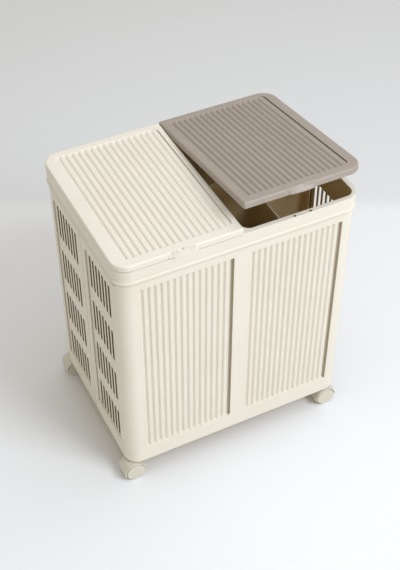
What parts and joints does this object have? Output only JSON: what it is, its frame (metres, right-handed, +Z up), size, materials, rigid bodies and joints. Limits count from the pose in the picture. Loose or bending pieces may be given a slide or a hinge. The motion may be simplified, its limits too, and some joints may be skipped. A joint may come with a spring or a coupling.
{
  "type": "laundry hamper with two bins",
  "caption": "Rolling laundry hamper with side-by-side bins under hinged ribbed lids, fluted front panels, slotted sides, an inner divider and hooded casters.",
  "frame": {"origin": "on the floor under the middle of the body", "axes": "+Z up, -Y towards the front with the fluted panels and the finger tabs, +X to the side of the taupe lid"},
  "size_m": [0.5298, 0.394, 0.6749],
  "materials": {
    "cream_plastic": "satin moulded plastic, warm cream",
    "taupe_plastic": "satin moulded plastic, warm taupe",
    "caster_plastic": "smooth moulded plastic, ivory",
    "catch_plastic": "smooth pale plastic",
    "steel": "bright zinc-plated steel"
  },
  "bodies": {
    "hamper_body": {"base_tray": "cream_plastic", "shell_front": "cream_plastic", "shell_back": "cream_plastic", "collar": "cream_plastic", "centre_partition": "cream_plastic", "right_bin_divider": "cream_plastic", "rim_catch_left": "catch_plastic", "rim_catch_right": "catch_plastic", "hinge_pin_left_1": "steel", "hinge_pin_left_2": "steel", "hinge_pin_right_1": "steel", "hinge_pin_right_2": "steel"},
    "left_lid": {"lid_left": "cream_plastic"},
    "right_lid": {"lid_right": "taupe_plastic"},
    "caster_front_left": {"caster_housing_front_left": "caster_plastic", "caster_stem_front_left": "steel", "caster_axle_front_left": "steel"},
    "wheel_front_left_1": {"caster_wheel_front_left_1": "caster_plastic"},
    "wheel_front_left_2": {"caster_wheel_front_left_2": "caster_plastic"},
    "caster_front_right": {"caster_housing_front_right": "caster_plastic", "caster_stem_front_right": "steel", "caster_axle_front_right": "steel"},
    "wheel_front_right_1": {"caster_wheel_front_right_1": "caster_plastic"},
    "wheel_front_right_2": {"caster_wheel_front_right_2": "caster_plastic"},
    "caster_back_left": {"caster_housing_back_left": "caster_plastic", "caster_stem_back_left": "steel", "caster_axle_back_left": "steel"},
    "wheel_back_left_1": {"caster_wheel_back_left_1": "caster_plastic"},
    "wheel_back_left_2": {"caster_wheel_back_left_2": "caster_plastic"},
    "caster_back_right": {"caster_housing_back_right": "caster_plastic", "caster_stem_back_right": "steel", "caster_axle_back_right": "steel"},
    "wheel_back_right_1": {"caster_wheel_back_right_1": "caster_plastic"},
    "wheel_back_right_2": {"caster_wheel_back_right_2": "caster_plastic"}
  },
  "joints": [
    {"name": "lid_left_hinge", "type": "hinge", "parent": "hamper_body", "child": "left_lid", "pos_m": [-0.13, 0.1936, 0.608], "axis": [-1, 0, 0], "range_deg": [0, 100]},
    {"name": "lid_right_hinge", "type": "hinge", "parent": "hamper_body", "child": "right_lid", "pos_m": [0.13, 0.1936, 0.608], "axis": [-1, 0, 0], "range_deg": [-8.4, 91.6]},
    {"name": "caster_front_left_swivel", "type": "hinge", "parent": "hamper_body", "child": "caster_front_left", "pos_m": [-0.2375, -0.168, 0.05], "axis": [0, 0, 1], "continuous": true},
    {"name": "wheel_front_left_1_spin", "type": "hinge", "parent": "caster_front_left", "child": "wheel_front_left_1", "pos_m": [-0.244, -0.181, 0.02082], "axis": [0, 1, 0], "continuous": true},
    {"name": "wheel_front_left_2_spin", "type": "hinge", "parent": "caster_front_left", "child": "wheel_front_left_2", "pos_m": [-0.244, -0.155, 0.02082], "axis": [0, 1, 0], "continuous": true},
    {"name": "caster_front_right_swivel", "type": "hinge", "parent": "hamper_body", "child": "caster_front_right", "pos_m": [0.2375, -0.168, 0.05], "axis": [0, 0, 1], "continuous": true},
    {"name": "wheel_front_right_1_spin", "type": "hinge", "parent": "caster_front_right", "child": "wheel_front_right_1", "pos_m": [0.231, -0.181, 0.02082], "axis": [0, 1, 0], "continuous": true},
    {"name": "wheel_front_right_2_spin", "type": "hinge", "parent": "caster_front_right", "child": "wheel_front_right_2", "pos_m": [0.231, -0.155, 0.02082], "axis": [0, 1, 0], "continuous": true},
    {"name": "caster_back_left_swivel", "type": "hinge", "parent": "hamper_body", "child": "caster_back_left", "pos_m": [-0.2375, 0.168, 0.05], "axis": [0, 0, 1], "continuous": true},
    {"name": "wheel_back_left_1_spin", "type": "hinge", "parent": "caster_back_left", "child": "wheel_back_left_1", "pos_m": [-0.244, 0.155, 0.02082], "axis": [0, 1, 0], "continuous": true},
    {"name": "wheel_back_left_2_spin", "type": "hinge", "parent": "caster_back_left", "child": "wheel_back_left_2", "pos_m": [-0.244, 0.181, 0.02082], "axis": [0, 1, 0], "continuous": true},
    {"name": "caster_back_right_swivel", "type": "hinge", "parent": "hamper_body", "child": "caster_back_right", "pos_m": [0.2375, 0.168, 0.05], "axis": [0, 0, 1], "continuous": true},
    {"name": "wheel_back_right_1_spin", "type": "hinge", "parent": "caster_back_right", "child": "wheel_back_right_1", "pos_m": [0.231, 0.155, 0.02082], "axis": [0, 1, 0], "continuous": true},
    {"name": "wheel_back_right_2_spin", "type": "hinge", "parent": "caster_back_right", "child": "wheel_back_right_2", "pos_m": [0.231, 0.181, 0.02082], "axis": [0, 1, 0], "continuous": true}
  ]
}
